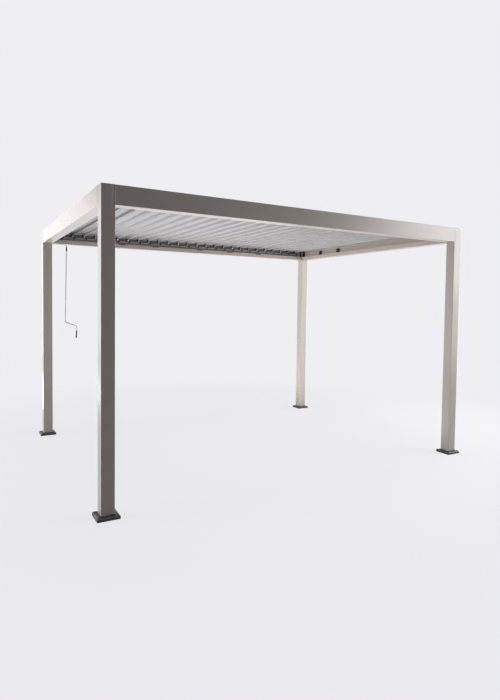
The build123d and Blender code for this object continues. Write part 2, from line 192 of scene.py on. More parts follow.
class PergolaFinishes(bpy.types.PropertyGroup):
    frame_colour: colour_setting(
        "Frame colour", "Powder coat of the posts, beams and flashings", (0.425, 0.377, 0.344)
    )
    frame_roughness: share_setting(
        "Frame roughness", "Roughness of the frame's powder coat", 0.30
    )
    louvre_colour: colour_setting(
        "Louvre colour", "Powder coat of the louvres", (0.40, 0.393, 0.396)
    )
    louvre_roughness: share_setting(
        "Louvre roughness", "Roughness of the louvres' powder coat", 0.24
    )
    bar_colour: colour_setting(
        "Bar colour", "Powder coat of the tilt bar", (0.40, 0.388, 0.375)
    )
    small_roughness: share_setting(
        "Small parts' roughness", "Roughness of the tilt bar's and the crank's coat", 0.35
    )
    foot_colour: colour_setting(
        "Foot colour", "Moulded plastic of the feet", (0.030, 0.029, 0.032)
    )
    foot_roughness: share_setting("Foot roughness", "Roughness of the feet's plastic", 0.42)
    foot_dust: share_setting("Foot dust", "How much pale dust the feet carry", 0.9)
    black_colour: colour_setting(
        "Black plastic colour",
        "Moulded plastic of the levers, brackets and gearbox",
        (0.020, 0.020, 0.022),
    )
    black_roughness: share_setting(
        "Black plastic roughness", "Roughness of the black and the grip's plastic", 0.5
    )
    lever_roughness: share_setting("Lever roughness", "Roughness of the louvres' levers", 0.55)
    # Painted shade, in part: the rails' dark grey is darker than their own plastic and stands for
    # the shade in the gutter's recess behind the lip.
    rail_colour_and_shade: colour_setting(
        "Rail colour", "Moulded plastic of the bearing rails", (0.10, 0.098, 0.098)
    )
    rail_roughness: share_setting("Rail roughness", "Roughness of the rails' plastic", 0.45)
    roof_dust: share_setting(
        "Roof dust", "How much pale dust the plastics above the feet carry", 0.15
    )
    steel_colour: colour_setting(
        "Steel colour", "Zinc plated pins and the crank's socket", (0.80, 0.80, 0.79)
    )
    pin_roughness: share_setting("Pin roughness", "Roughness of the louvres' zinc pins", 0.3)
    dark_steel_colour: colour_setting(
        "Dark steel colour",
        "Blackened screws, anchor bolts and the crank's coupling",
        (0.075, 0.073, 0.075),
    )
    crank_pale_colour: colour_setting(
        "Upper crank colour", "Coat of the crank's upper tube", (0.40, 0.41, 0.42)
    )
    crank_pale_metallic: share_setting(
        "Upper crank metallic", "How much of the upper tube's coat is metal flake", 0.3
    )
    crank_colour: colour_setting(
        "Crank colour", "Powder coat of the crank's bent rod", (0.20, 0.195, 0.20)
    )
    crank_metallic: share_setting(
        "Crank metallic", "How much of the bent rod's coat is metal flake", 0.15
    )
    grip_colour: colour_setting(
        "Grip colour", "Plastic of the crank's grip", (0.085, 0.080, 0.085)
    )


class PergolaFittings(bpy.types.PropertyGroup):
    bolt_radius: length_setting(
        "Bolt head radius", "Radius of an anchor bolt's domed head", 0.0085
    )
    bolt_height: length_setting(
        "Bolt head height", "Height of an anchor bolt's domed head", 0.0055
    )
    washer_radius: length_setting(
        "Washer radius", "Radius of the washer under an anchor bolt", 0.0115
    )
    washer_thickness: length_setting(
        "Washer thickness", "Thickness of the washer under an anchor bolt", 0.0016
    )
    pin_head_radius: length_setting(
        "Pin head radius", "Radius of the head on a louvre's pivot pin", 0.0080
    )
    pin_head_height: length_setting(
        "Pin head height", "How far a pivot pin's head stands off the lever", 0.0040
    )
    bead_width: length_setting("Bead width", "Width of the beads beside a post's seam", 0.0030)
    bead_height: length_setting("Bead height", "How far the beads stand off the post", 0.0006)
    gasket_width: length_setting(
        "Gasket width", "Width of the dark gasket in a post's seam", 0.0030
    )
    gasket_place: length_setting(
        "Gasket place", "How far the gasket lies from the post's inner edge", 0.0035
    )
    outer_bead_place: length_setting(
        "Outer bead place", "How far the outer bead lies from the post's inner edge", 0.025
    )
    clip_length: length_setting("Clip length", "Length of a clip on a gutter's lip", 0.090)
    clip_places: bpy.props.FloatVectorProperty(
        name="Clip places",
        description="Where the clips sit along a gutter's lip, in metres",
        unit="LENGTH",
        size=5,
        default=(-1.0, -0.55, 0.1, 0.58, 1.06),
    )
    screw_radius: length_setting("Screw head radius", "Radius of a pan-head screw", 0.0042)
    screw_height: length_setting("Screw head height", "Height of a pan-head screw", 0.0018)


class PergolaCrank(bpy.types.PropertyGroup):
    tube_start: length_setting("Tube start", "How far under the beam the tube starts", 0.009)
    rod_radius: length_setting("Tube radius", "Radius of the crank's upper tube", 0.0055)
    bent_radius: length_setting("Rod radius", "Radius of the crank's bent rod", 0.0052)
    split: length_setting("Rod joint", "How far under the beam the rod's two parts meet", 0.700)
    drop: length_setting("Drop", "Height from the beam down to the crank's arm", 0.965)
    arm: length_setting("Arm", "Reach of the crank's arm", 0.143)
    arm_fall: length_setting("Arm fall", "How much lower the arm's far end is", 0.042)
    tail: length_setting("Tail", "Height from the top of the arm to the rod's end", 0.188)
    tail_lean: angle_setting(
        "Tail lean", "Lean of the grip against the rod's upper part", radians(3.3)
    )
    bend_radius: length_setting("Bend radius", "Radius of the rod's two bends", 0.042)
    collar_length: length_setting("Collar length", "Length of the collar at the joint", 0.016)
    collar_radius: length_setting("Collar radius", "Radius of the collar", 0.0072)
    collar_rim: length_setting("Collar rim", "Rounding of the collar's rims", 0.0012)
    coupling_drop: length_setting(
        "Coupling drop", "How far under the beam the coupling's middle is", 0.059
    )
    coupling_length: length_setting("Coupling length", "Length of the dark coupling", 0.050)
    coupling_radius: length_setting("Coupling radius", "Radius of the coupling", 0.0088)
    coupling_rim: length_setting("Coupling rim", "Rounding of the coupling's rims", 0.0016)
    pin_radius: length_setting("Pin radius", "Radius of the coupling's cross pin", 0.0026)
    pin_reach: length_setting("Pin reach", "How far the cross pin reaches each way", 0.0112)
    grip_radius: length_setting("Grip radius", "Radius of the grip's ends", 0.010)
    grip_length: length_setting("Grip length", "Length of the grip along the rod", 0.090)
    grip_overhang: length_setting("Grip overhang", "How far the grip covers the rod's end", 0.005)
    grip_waist: length_setting("Grip waist", "How much the grip narrows at its middle", 0.0015)
    grip_rim: length_setting("Grip rim", "Width of the chamfer at the grip's ends", 0.002)
    rib_height: length_setting("Rib height", "Half the height of the grip's ribs", 0.0004)
    rib_count: bpy.props.IntProperty(
        name="Ribs",
        description="How many ribs go round the grip",
        min=1,
        default=11,
    )


class PergolaStage(bpy.types.PropertyGroup):
    background: colour_setting(
        "Background", "Colour of the backdrop and the floor", (0.863, 0.855, 0.896)
    )
    floor_half: length_setting("Floor half", "How far the floor reaches each way", 40.0)
    floor_drop: length_setting("Floor drop", "How far the floor lies under the feet", 0.0005)
    floor_bounce: colour_setting(
        "Floor bounce", "Colour of the floor as it lights the pergola", (0.70, 0.70, 0.712)
    )
    floor_lit: colour_setting(
        "Floor lit", "Share of the lamps' light that the floor shows", (0.16, 0.16, 0.166)
    )
    floor_glow: share_setting(
        "Floor glow", "Share of the backdrop's colour that the floor has in full shadow", 0.87
    )
    fade_start: length_setting("Fade start", "Where the floor starts to fade", 2.6)
    fade_end: length_setting("Fade end", "Where the floor has the backdrop's colour", 5.4)
    room_colour: colour_setting(
        "Room colour", "Colour of the soft light from all round", (0.98, 0.985, 1.0)
    )
    room_level: bpy.props.FloatProperty(
        name="Room level",
        description="Strength of the soft light from all round",
        min=0.0,
        default=0.01,
    )
    light_level: bpy.props.FloatProperty(
        name="Light level",
        description="Power of every softbox, as a share of its own setting",
        subtype="FACTOR",
        min=0.0,
        soft_max=2.0,
        default=1.0,
    )
    camera_place: bpy.props.FloatVectorProperty(
        name="Camera place",
        description="Where the camera stands",
        subtype="XYZ_LENGTH",
        unit="LENGTH",
        size=3,
        default=(-2.8945, -5.3216, 1.6155),
    )
    camera_yaw: angle_setting(
        "Camera yaw", "Turn of the camera from the Y axis towards the X axis", 0.51892
    )
    camera_pitch: angle_setting("Camera pitch", "Tilt of the camera above the horizon", -0.043071)
    camera_roll: angle_setting(
        "Camera roll", "Roll of the camera about its own line of sight", 0.012753
    )
    camera_lens: bpy.props.FloatProperty(
        name="Camera lens",
        description="Focal length for a 36 mm sensor, in millimetres",
        subtype="DISTANCE_CAMERA",
        default=26.553,
    )
    camera_rise: bpy.props.FloatProperty(
        name="Camera rise",
        description="Vertical shift of the lens, as a share of the frame's long side",
        default=-0.0308,
    )


# ---- Materials


class Shader:
    """A material's node tree, with short ways to add nodes and to join them."""

    def __init__(self, name):
        self.material = bpy.data.materials.new(name)
        self.material.use_nodes = True
        self.tree = self.material.node_tree
        self.surface = self.tree.nodes["Principled BSDF"]
        self.place = self.add("ShaderNodeTexCoord").outputs["Object"]

    @classmethod
    def over(cls, world):
        """The same short ways to add nodes, in a world's own empty tree."""
        shader = cls.__new__(cls)
        shader.tree = world.node_tree
        shader.tree.nodes.clear()
        return shader

    def set_inputs(self, node, inputs):
        """Join each input to a socket, or give it a value."""
        for key, value in inputs.items():
            if isinstance(value, bpy.types.NodeSocket):
                self.tree.links.new(value, node.inputs[key])
            else:
                node.inputs[key].default_value = value

    def add(self, kind, inputs=None, **settings):
        """A new node with its settings and inputs."""
        node = self.tree.nodes.new(kind)
        for key, value in settings.items():
            setattr(node, key, value)
        self.set_inputs(node, inputs or {})
        return node

    def noise(self, scale, detail=2.0, roughness=0.5):
        """Soft noise over the piece, scale being cells per metre."""
        inputs = {"Vector": self.place, "Scale": scale, "Detail": detail, "Roughness": roughness}
        return self.add("ShaderNodeTexNoise", inputs).outputs["Fac"]

    def ramp(self, value, span, target, smooth=False):
        """A value taken from one span of numbers to another, held at both ends."""
        inputs = {
            "Value": value,
            "From Min": span[0],
            "From Max": span[1],
            "To Min": target[0],
            "To Max": target[1],
        }
        kind = "SMOOTHSTEP" if smooth else "LINEAR"
        return self.add("ShaderNodeMapRange", inputs, interpolation_type=kind).outputs["Result"]

    def math(self, operation, *values, **settings):
        """One step of arithmetic."""
        inputs = dict(enumerate(values))
        return self.add("ShaderNodeMath", inputs, operation=operation, **settings).outputs[0]

    def tint(self, colour, factor):
        """A colour times a factor that changes over the surface."""
        inputs = {0: tuple(colour), "Scale": factor}
        return self.add("ShaderNodeVectorMath", inputs, operation="SCALE").outputs[0]

    def mix_colour(self, factor, a, b):
        """Colour a where the factor is 0 and colour b where it is 1."""
        ends = [c if isinstance(c, bpy.types.NodeSocket) else (*c, 1.0) for c in (a, b)]
        inputs = {0: factor, 6: ends[0], 7: ends[1]}
        return self.add("ShaderNodeMix", inputs, data_type="RGBA").outputs[2]

    def mix_number(self, factor, a, b):
        """Number a where the factor is 0 and number b where it is 1."""
        inputs = {0: factor, 2: a, 3: b}
        return self.add("ShaderNodeMix", inputs, data_type="FLOAT").outputs[0]

    def bump(self, height, distance, strength):
        """The surface's normal, tilted by a fine relief."""
        inputs = {"Height": height, "Distance": distance, "Strength": strength}
        return self.add("ShaderNodeBump", inputs).outputs["Normal"]

    def finish(self, **sockets):
        """Set or join the surface's own sockets, with _ for a space in a socket's name."""
        inputs = {key.replace("_", " "): value for key, value in sockets.items()}
        self.set_inputs(self.surface, inputs)
        return self.material


def mirror_rays(shader):
    """1 for the rays that show the backdrop: the camera's, mirror-like ones and through glass."""
    path = shader.add("ShaderNodeLightPath").outputs
    some = shader.math("ADD", path["Is Camera Ray"], path["Is Glossy Ray"])
    return shader.math("ADD", some, path["Is Transmission Ray"], use_clamp=True)


def powder_coat(name, colour, metallic, roughness):
    """Satin powder coat: flake and clouds in the colour, orange peel and faint handling marks."""
    s = Shader(name)
    flake = s.ramp(s.noise(1400.0, 1.0), (0.3, 0.7), (0.93, 1.07))
    cloud = s.ramp(s.noise(1.7, 4.0, 0.6), (0.3, 0.7), (0.97, 1.03))
    marks = s.ramp(s.noise(7.0, 5.0, 0.65), (0.45, 0.75), (0.0, 0.05), smooth=True)
    peel = s.noise(420.0, 2.0, 0.45)
    return s.finish(
        Base_Color=s.tint(colour, s.math("MULTIPLY", flake, cloud)),
        Metallic=metallic,
        Roughness=s.math("ADD", roughness, marks),
        Normal=s.bump(peel, 0.0001, 0.25),
        Specular_IOR_Level=COAT_SPECULAR,
    )


def moulded_plastic(name, colour, roughness, dust):
    """Moulded plastic with a spark-eroded grain, and pale dust in specks, most on its tops."""
    s = Shader(name)
    normal = s.add("ShaderNodeTexCoord").outputs["Normal"]
    height = s.add("ShaderNodeSeparateXYZ", {0: normal}).outputs["Z"]
    upward = s.ramp(height, (0.3, 0.9), (0.05, 1.0), smooth=True)
    patch = s.ramp(s.noise(13.0, 4.0, 0.6), (0.35, 0.65), (0.35, 1.0), smooth=True)
    speck = s.ramp(s.noise(150.0, 3.0, 0.6), (0.42, 0.60), (0.15, dust), smooth=True)
    cover = s.math("MULTIPLY", s.math("MULTIPLY", patch, speck), upward)
    pale = [min(1.0, c + DUST_PALENESS) for c in colour]
    polish = (roughness - 0.05, roughness + 0.07)
    return s.finish(
        Base_Color=s.mix_colour(cover, colour, pale),
        Roughness=s.ramp(s.noise(60.0, 3.0), (0.3, 0.7), polish),
        Normal=s.bump(s.noise(900.0, 3.0, 0.6), 0.0002, 0.3),
        Specular_IOR_Level=COAT_SPECULAR,
    )


def zinc_plate(name, colour):
    """Bright zinc plate: pale metal with a faint cloudy passivation and fine scratches."""
    s = Shader(name)
    cloud = s.ramp(s.noise(90.0, 4.0, 0.6), (0.3, 0.7), (0.86, 1.05))
    return s.finish(
        Base_Color=s.tint(colour, cloud),
        Metallic=1.0,
        Roughness=s.ramp(s.noise(160.0, 3.0), (0.3, 0.7), (0.24, 0.42)),
        Normal=s.bump(s.noise(1500.0, 2.0), 0.00005, 0.2),
    )


def louvre_finish(name, finishes):
    """Powder coat along the blade, black plastic on the levers and zinc on the pins beyond."""
    s = Shader(name)
    along = s.add("ShaderNodeSeparateXYZ", {0: s.place}).outputs["Y"]
    reach = s.math("ABSOLUTE", along)
    on_lever = s.math("GREATER_THAN", reach, LEVER_FACE - PAINT_EDGE)
    on_pin = s.math("GREATER_THAN", reach, LEVER_FACE + LEVER_THICKNESS + PAINT_EDGE)
    flake = s.ramp(s.noise(1400.0, 1.0), (0.3, 0.7), (0.94, 1.06))
    cloud = s.ramp(s.noise(2.3, 4.0, 0.6), (0.3, 0.7), (0.975, 1.025))
    blade = s.tint(finishes.louvre_colour, s.math("MULTIPLY", flake, cloud))
    colour = s.mix_colour(on_lever, blade, finishes.black_colour)
    rough = s.mix_number(on_lever, finishes.louvre_roughness, finishes.lever_roughness)
    return s.finish(
        Base_Color=s.mix_colour(on_pin, colour, finishes.steel_colour),
        Metallic=on_pin,
        Roughness=s.mix_number(on_pin, rough, finishes.pin_roughness),
        Normal=s.bump(s.noise(420.0, 2.0, 0.45), 0.0001, 0.2),
    )


def paint(nodes, material):
    """Give CAD nodes a material in place of the one they were packed with."""
    for node in nodes:
        materials = frame["nodes"][node].data.materials
        materials.clear()
        materials.append(material)


def nodes_of(slot):
    """The CAD nodes whose record names this material slot."""
    return [node for node, own in SLOT_OF.items() if own == slot]


# ---- Surfaces


def turned(profile, around):
    """A profile of (radius, height) pairs turned about Z: x = r cos t, y = r sin t, z = h."""
    radius, height = np.array(profile, float).T
    t = np.linspace(0, 2 * np.pi, around, endpoint=False)
    x = radius[:, None] * np.cos(t)
    y = radius[:, None] * np.sin(t)
    z = np.repeat(height[:, None], around, axis=1)
    return np.stack([x, y, z], axis=-1)


def leant(grid, angle):
    """Points turned about Y: x = x cos a + z sin a, z = z cos a - x sin a."""
    x, y, z = grid[..., 0], grid[..., 1], grid[..., 2]
    return np.stack(
        [x * cos(angle) + z * sin(angle), y, z * cos(angle) - x * sin(angle)], axis=-1
    )


def grid_faces(rows, columns, first=0):
    """Quads over a grid that closes on itself along its columns, rows from the top down."""
    i, j = np.meshgrid(np.arange(rows - 1), np.arange(columns), indexing="ij")
    k = (j + 1) % columns
    a, b = i * columns + j, i * columns + k
    return np.stack([a, a + columns, b + columns, b], axis=-1).reshape(-1, 4)[:, ::-1] + first


def carried(section, path, across, up):
    """A closed section (a, b) carried along a path, its ends closed: point = path + a across
    + b up."""
    section = np.array(section, float)
    path = np.array(path, float)
    across = np.broadcast_to(across, path.shape)
    up = np.broadcast_to(up, path.shape)
    sideways = section[None, :, :1] * across[:, None]
    upwards = section[None, :, 1:] * up[:, None]
    rings = path[:, None] + sideways + upwards
    middle = rings.mean(axis=1, keepdims=True).repeat(len(section), axis=1)
    return np.concatenate([middle[:1], rings, middle[-1:]])


def circle(radius, around):
    """Points round a circle: a = r cos t, b = r sin t."""
    t = np.linspace(0, 2 * np.pi, around, endpoint=False)
    return np.stack([radius * np.cos(t), radius * np.sin(t)], axis=-1)


def half_round(width, height, steps):
    """A bead's section: the upper half of an ellipse, closed along its flat side."""
    t = np.linspace(0, np.pi, steps)
    return np.stack([width / 2 * np.cos(t), height * np.sin(t)], axis=-1)


def rounded_bar(width, height, radius, steps=3):
    """A bar's section: a rectangle about its middle whose corners are quarter circles."""
    quarter = np.linspace(0, np.pi / 2, steps)
    t = np.concatenate([quarter + k * np.pi / 2 for k in range(4)])
    side = np.repeat([[1, 1], [-1, 1], [-1, -1], [1, -1]], steps, axis=0)
    corner = side * (np.array([width, height]) / 2 - radius)
    return corner + radius * np.stack([np.cos(t), np.sin(t)], axis=-1)


def dome(radius, height, steps, base=0.0):
    """A domed head's profile: r = R cos u, h = H sin u, closed by a flat underside."""
    u = np.linspace(0, np.pi / 2, steps)
    rim = list(zip(radius * np.cos(u), base + height * np.sin(u)))
    return [(0.0, base)] + rim[:-1] + [(0.0, base + height)]


def banded(middle, length, radius, rim):
    """A collar's profile at a depth: a straight band between two rims that are quarter circles."""
    t = np.linspace(0, np.pi / 2, 4)
    top = -middle + length / 2
    upper = [(radius - rim + rim * cos(a), top - rim + rim * sin(a)) for a in t]
    lower = [(r, -2 * middle - z) for r, z in upper[::-1]]
    return [(0.0, top - length), *lower, *upper, (0.0, top)]


def ribbed(s):
    """The grip's profile: r = R - e - w (1 - b) + e (1 - b) cos(2 pi n h) over h from 0 to 1,
    with b = (2 h - 1)^4, the waist w, the ribs' half height e and their number n."""
    h = np.linspace(0, 1, GRIP_ROWS)
    inside = 1 - (2 * h - 1) ** 4
    ribs = s.rib_height * inside * np.cos(2 * np.pi * s.rib_count * h)
    radius = s.grip_radius - s.rib_height - s.grip_waist * inside + ribs
    low, high = -s.grip_overhang, s.grip_length - s.grip_overhang
    height = low + s.grip_rim + (high - low - 2 * s.grip_rim) * h
    end = radius[0] - s.grip_rim
    return [(0, low), (end, low), *zip(radius, height), (end, high), (0, high)]


def crank_line(s):
    """The bent rod's middle line: straight runs joined by arcs that touch both runs."""
    knee = np.array([s.arm, 0, -s.drop - s.arm_fall])
    run = s.tail - s.arm_fall
    end = np.array([s.arm - run * np.tan(s.tail_lean), 0, -s.drop - s.tail])
    corners = [np.array([0, 0, -s.split]), np.array([0, 0, -s.drop]), knee, end]
    points = [corners[0][None]]
    for before, corner, after in zip(corners, corners[1:], corners[2:]):
        into = (corner - before) / np.linalg.norm(corner - before)
        out = (after - corner) / np.linalg.norm(after - corner)
        turn = np.arccos(into @ out)
        across = (out - into * (into @ out)) / np.sin(turn)
        start = corner - into * s.bend_radius * np.tan(turn / 2)
        a = np.linspace(0, turn, BEND_ROWS)[:, None]
        points.append(start + s.bend_radius * (into * np.sin(a) + across * (1 - np.cos(a))))
    points.append(corners[-1][None])
    return np.concatenate(points)


class Piece:
    """Points and faces gathered from several surfaces into one mesh."""

    def __init__(self, name):
        self.name = name
        self.points = []
        self.faces = []
        self.count = 0

    def add(self, grid):
        """A grid of points that closes on itself along its columns."""
        rows, columns = grid.shape[:2]
        self.points.append(grid.reshape(-1, 3))
        self.faces.append(grid_faces(rows, columns, self.count))
        self.count += rows * columns

    def add_turned(self, profile, around, place, axis="Z"):
        """A turned surface whose profile starts and ends on its axis, set down at a place."""
        grid = turned(profile, around)
        x, y, z = grid[..., 0], grid[..., 1], grid[..., 2]
        ways = {"Z": (x, y, z), "Y": (-x, z, y), "-Y": (x, -z, y)}
        self.add(np.stack(ways[axis], axis=-1) + np.array(place, float))

    def make(self, material, body, slot):
        """The finished object, riding on its body."""
        mesh = bpy.data.meshes.new(self.name)
        points, faces = np.concatenate(self.points), np.concatenate(self.faces)
        mesh.from_pydata(points.tolist(), [], faces.tolist())
        mesh.materials.append(material)
        piece = bpy.data.objects.new(self.name, mesh)
        bpy.context.scene.collection.objects.link(piece)
        weld(mesh)
        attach(piece, body)
        return piece


def weld(mesh):
    """Merge doubled points, turn the faces outwards and smooth across shallow edges."""
    work = bmesh.new()
    work.from_mesh(mesh)
    bmesh.ops.remove_doubles(work, verts=work.verts, dist=MERGE_DISTANCE)
    bmesh.ops.dissolve_degenerate(work, edges=work.edges, dist=MERGE_DISTANCE)
    bmesh.ops.recalc_face_normals(work, faces=work.faces)
    work.to_mesh(mesh)
    work.free()
    mesh.shade_smooth()
    mesh.set_sharp_from_angle(angle=SMOOTH_ANGLE)


# ---- Operators


class PERGOLA_OT_paint(bpy.types.Operator):
    """Give every CAD node its finish"""

    bl_idname = "pergola.paint"
    bl_label = "Paint the pergola"

    def execute(self, context):
        f = context.scene.pergola_finishes
        # Slot, colour, share of metal flake and roughness of each powder coat
        for slot, colour, metallic, roughness in (
            ("frame_paint", f.frame_colour, 0.0, f.frame_roughness),
            ("bar_metal", f.bar_colour, 0.0, f.small_roughness),
            ("crank_paint", f.crank_colour, f.crank_metallic, f.small_roughness),
        ):
            paint(nodes_of(slot), powder_coat(slot, colour, metallic, roughness))
        # Slot, colour, roughness and dust of each plastic
        for slot, colour, roughness, dust in (
            ("foot_plastic", f.foot_colour, f.foot_roughness, f.foot_dust),
            ("black_plastic", f.black_colour, f.black_roughness, f.roof_dust),
            ("grip_plastic", f.grip_colour, f.black_roughness, f.roof_dust),
        ):
            paint(nodes_of(slot), moulded_plastic(slot, colour, roughness, dust))
        # The rails' material carries painted shade: its dark grey also stands for the shade in the
        # gutter's recess.
        rail = moulded_plastic("rail_plastic_and_shade", f.rail_colour_and_shade, f.rail_roughness, f.roof_dust)
        paint(("bearing_rail_back", "bearing_rail_front"), rail)
        paint(nodes_of("socket_metal"), zinc_plate("socket_metal", f.steel_colour))
        paint(nodes_of("louvre_paint"), louvre_finish("louvre_paint", f))
        # For the bolts, the screws and the coupling that the next operators make
        zinc_plate("dark_steel", f.dark_steel_colour)
        return {"FINISHED"}


class PERGOLA_OT_anchor_bolts(bpy.types.Operator):
    """Set a bolt and a washer in each anchor hole of the feet"""

    bl_idname = "pergola.anchor_bolts"
    bl_label = "Anchor bolts"

    def execute(self, context):
        s = context.scene.pergola_fittings
        mounts = {mount["name"]: mount for mount in frame["record"]["mounts"]}
        plate_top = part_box("post_front_left")[0].z
        radius, thickness = s.washer_radius, s.washer_thickness
        chamfer = thickness * WASHER_CHAMFER
        washer = [
            (0, 0),
            (radius, 0),
            (radius, thickness - chamfer),
            (radius - chamfer, thickness),
            (0, thickness),
        ]
        bolt = dome(s.bolt_radius, s.bolt_height, steps=5, base=thickness)
        for corner in CORNERS:
            mount = mounts[f"foot_{corner}_anchors"]
            centre = Vector(mount["pos_m"])
            half = mount["dims"]["spacing_x_mm"] / 2000
            piece = Piece(f"anchor_bolts_{corner}")
            for side_x in (-1, 1):
                for side_y in (-1, 1):
                    place = (centre.x + side_x * half, centre.y + side_y * half, plate_top)
                    piece.add_turned(washer, BOLT_SIDES, place)
                    piece.add_turned(bolt, BOLT_SIDES, place)
            piece.make(bpy.data.materials["dark_steel"], "frame", "socket_metal")
        return {"FINISHED"}


class PERGOLA_OT_pin_heads(bpy.types.Operator):
    """Set a domed head on each louvre's pivot pin, on the inner side of its levers"""

    bl_idname = "pergola.pin_heads"
    bl_label = "Pin heads"

    def execute(self, context):
        s = context.scene.pergola_fittings
        steel = zinc_plate("pin_steel", context.scene.pergola_finishes.steel_colour)
        profile = dome(s.pin_head_radius, s.pin_head_height, steps=4)
        for body in LOUVRES:
            pivot = PIVOTS[body]
            piece = Piece(f"pin_heads_{body[-2:]}")
            for y, way in ((LEVER_FACE, "-Y"), (-LEVER_FACE, "Y")):
                piece.add_turned(profile, PIN_HEAD_SIDES, (pivot.x, y, pivot.z), way)
            piece.make(steel, body, "socket_metal")
        return {"FINISHED"}


class PERGOLA_OT_joint_seams(bpy.types.Operator):
    """Set the seams where the beams meet the posts: a dark gasket between two fine beads"""

    bl_idname = "pergola.joint_seams"
    bl_label = "Joint seams"

    def execute(self, context):
        s = context.scene.pergola_fittings
        low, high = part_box("post_back_right")
        bottom = np.array([0, 0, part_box("beam_front")[0].z + SEAM_MARGIN])
        top = np.array([0, 0, high.z - SEAM_MARGIN])
        beads, gaskets = Piece("joint_beads"), Piece("joint_gaskets")
        bead = half_round(s.bead_width, s.bead_height, steps=7)
        gasket = half_round(s.gasket_width, s.bead_height / 2, steps=5)
        strips = (
            (beads, bead, 0.0),
            (beads, bead, s.outer_bead_place),
            (gaskets, gasket, s.gasket_place),
        )
        for side_x in (-1, 1):
            for side_y in (-1, 1):
                x_way, y_way = np.array([side_x, 0, 0]), np.array([0, side_y, 0])
                # The inner edges of the post's outer faces, and the ways across and off them
                edges = (
                    (x_way * high.x + y_way * low.y, y_way, x_way),
                    (x_way * low.x + y_way * high.y, x_way, y_way),
                )
                for edge, across, off in edges:
                    for piece, section, place in strips:
                        foot = edge + across * place
                        piece.add(carried(section, [foot + bottom, foot + top], across, off))
        beads.make(bpy.data.materials["frame_paint"], "frame", "frame_paint")
        gaskets.make(bpy.data.materials["black_plastic"], "frame", "black_plastic")
        return {"FINISHED"}


class PERGOLA_OT_lip_clips(bpy.types.Operator):
    """Set short black clips, each a cap and a tab, over the gutter lips"""

    bl_idname = "pergola.lip_clips"
    bl_label = "Lip clips"

    def execute(self, context):
        s = context.scene.pergola_fittings
        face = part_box("post_back_right")[0].y
        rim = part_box("beam_back")[0].z + LIP_HEIGHT
        piece = Piece("lip_clips")
        for side in (-1, 1):
            for x in s.clip_places:
                for width, height, radius, inward, rise in CLIP_BARS:
                    y, z = side * (face + inward), rim + rise
                    ends = [(x - s.clip_length / 2, y, z), (x + s.clip_length / 2, y, z)]
                    section = rounded_bar(width, height, radius)
                    piece.add(carried(section, ends, (0, 1, 0), (0, 0, 1)))
        piece.make(bpy.data.materials["black_plastic"], "frame", "black_plastic")
        return {"FINISHED"}


class PERGOLA_OT_screws(bpy.types.Operator):
    """Drive the pan-head screws into the bearing rails and the flashings"""

    bl_idname = "pergola.screws"
    bl_label = "Screws"

    def execute(self, context):
        s = context.scene.pergola_fittings
        dark = bpy.data.materials["dark_steel"]
        head = dome(s.screw_radius, s.screw_height, steps=4)
        pivots = sorted(pivot.x for pivot in PIVOTS.values())
        between = [(a + b) / 2 for a, b in zip(pivots[::2], pivots[1::2])]
        rails = Piece("rail_screws")
        back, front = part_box("bearing_rail_back"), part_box("bearing_rail_front")
        for low, y, way in ((back[0], back[0].y, "-Y"), (front[0], front[1].y, "Y")):
            for x in between:
                rails.add_turned(head, SCREW_SIDES, (x, y, low.z + SCREW_INSET), way)
        rails.make(dark, "frame", "socket_metal")
        flashings = Piece("flashing_screws")
        for side in ("left", "right"):
            low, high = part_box(f"flashing_{side}")
            x = low.x + SCREW_INSET if side == "left" else high.x - SCREW_INSET
            for y in np.linspace(-FLASHING_REACH, FLASHING_REACH, FLASHING_SCREWS):
                flashings.add_turned(head, SCREW_SIDES, (x, y, high.z), "Z")
        flashings.make(dark, "frame", "socket_metal")
        return {"FINISHED"}


